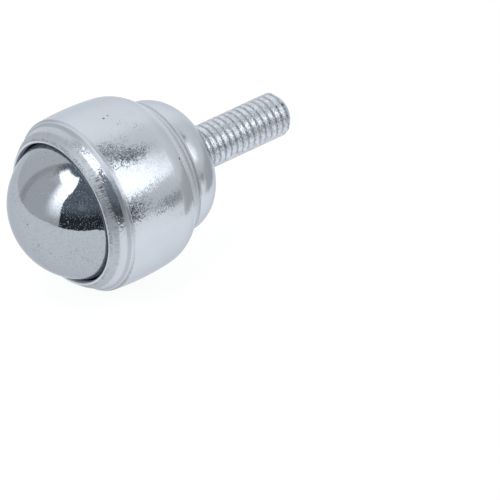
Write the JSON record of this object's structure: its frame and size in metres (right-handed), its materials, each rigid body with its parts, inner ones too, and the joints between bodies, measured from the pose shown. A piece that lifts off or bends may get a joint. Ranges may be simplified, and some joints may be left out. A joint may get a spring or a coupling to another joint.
{
  "type": "ball castor",
  "caption": "Ball castor: a polished steel ball turning freely in a round pressed-steel housing with a rolled lip, fixed by a threaded stud on its domed end.",
  "frame": {"origin": "centre of the stud at the end face of the housing, the shoulder that meets the furniture", "axes": "+Z along the stud, pointing out of the housing towards its tip; the ball is below, on -Z"},
  "size_m": [0.031, 0.031, 0.0552],
  "materials": {
    "zinc_pressing": "satin",
    "zinc_stud": "satin",
    "hardened_steel": "satin",
    "polished_steel": "polished"
  },
  "bodies": {
    "housing": {"housing": "zinc_pressing", "stud": "zinc_stud", "race_cup": "hardened_steel"},
    "ball_bed": {"support_ball_01": "polished_steel", "support_ball_02": "polished_steel", "support_ball_03": "polished_steel", "support_ball_04": "polished_steel", "support_ball_05": "polished_steel", "support_ball_06": "polished_steel", "support_ball_07": "polished_steel", "support_ball_08": "polished_steel", "support_ball_09": "polished_steel", "support_ball_10": "polished_steel", "support_ball_11": "polished_steel", "support_ball_12": "polished_steel", "support_ball_13": "polished_steel", "support_ball_14": "polished_steel", "support_ball_15": "polished_steel", "support_ball_16": "polished_steel", "support_ball_17": "polished_steel", "support_ball_18": "polished_steel", "support_ball_19": "polished_steel", "support_ball_20": "polished_steel", "support_ball_21": "polished_steel", "support_ball_22": "polished_steel", "support_ball_23": "polished_steel", "support_ball_24": "polished_steel", "support_ball_25": "polished_steel", "support_ball_26": "polished_steel", "support_ball_27": "polished_steel", "support_ball_28": "polished_steel", "support_ball_29": "polished_steel", "support_ball_30": "polished_steel", "support_ball_31": "polished_steel", "support_ball_32": "polished_steel", "support_ball_33": "polished_steel", "support_ball_34": "polished_steel", "support_ball_35": "polished_steel"},
    "load_ball": {"load_ball": "polished_steel"}
  },
  "joints": [
    {"name": "swivel", "type": "hinge", "parent": "housing", "child": "ball_bed", "pos_m": [0, 0, -0.022], "axis": [0, 0, 1], "continuous": true},
    {"name": "roll", "type": "hinge", "parent": "ball_bed", "child": "load_ball", "pos_m": [0, 0, -0.022], "axis": [1, 0, 0], "continuous": true}
  ]
}
